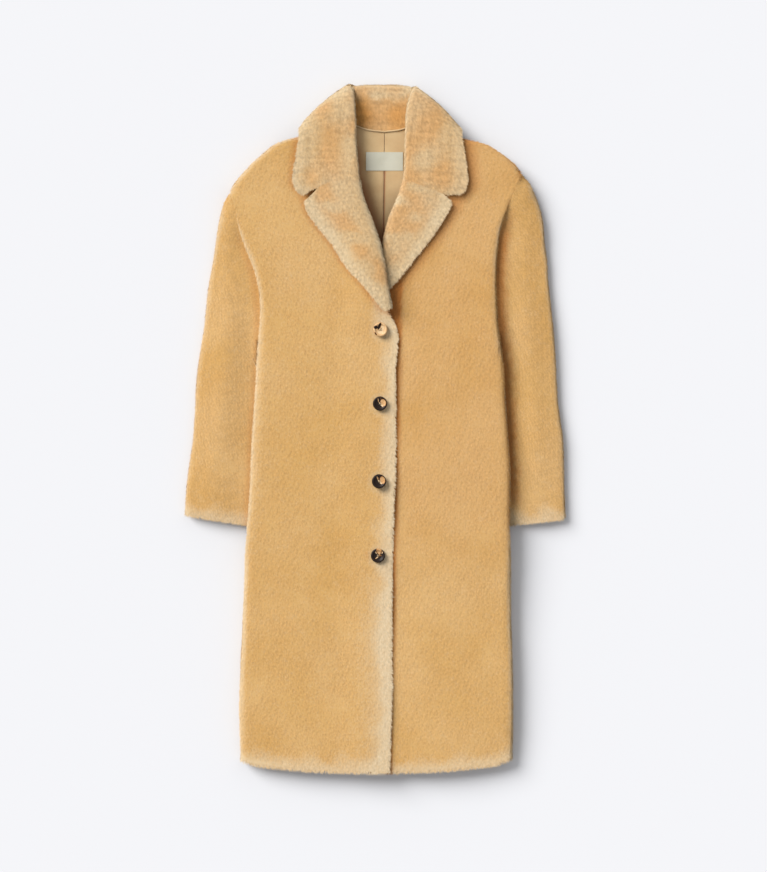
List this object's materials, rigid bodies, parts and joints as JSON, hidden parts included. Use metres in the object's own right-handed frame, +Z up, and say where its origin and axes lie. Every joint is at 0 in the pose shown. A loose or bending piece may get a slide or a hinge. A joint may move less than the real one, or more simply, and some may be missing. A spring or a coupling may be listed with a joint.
{
  "type": "faux shearling coat",
  "caption": "Long single-breasted faux shearling coat laid flat, with a notched collar and lapels, buttoned front and straight sleeves open at the cuffs.",
  "frame": {"origin": "middle of the coat's outline, on the surface that it lies on", "axes": "+X towards the wearer's left sleeve, +Y from the hem towards the collar, +Z up from the surface, out of the coat's front"},
  "size_m": [0.6676, 1.2036, 0.0687],
  "materials": {
    "plush": "deep warm tan pile",
    "plush_light": "deep pale tan pile, brushed",
    "label_satin": "woven, smooth",
    "mock_horn": "polished, mottled dark brown and amber"
  },
  "bodies": {
    "root": {"back_right": "plush", "back_left": "plush", "front_right": "plush", "front_left": "plush", "sleeve_right": "plush", "sleeve_left": "plush", "facing_right": "plush_light", "facing_left": "plush_light", "collar": "plush_light", "label": "label_satin", "button_1": "mock_horn", "button_2": "mock_horn", "button_3": "mock_horn", "button_4": "mock_horn"}
  },
  "joints": []
}
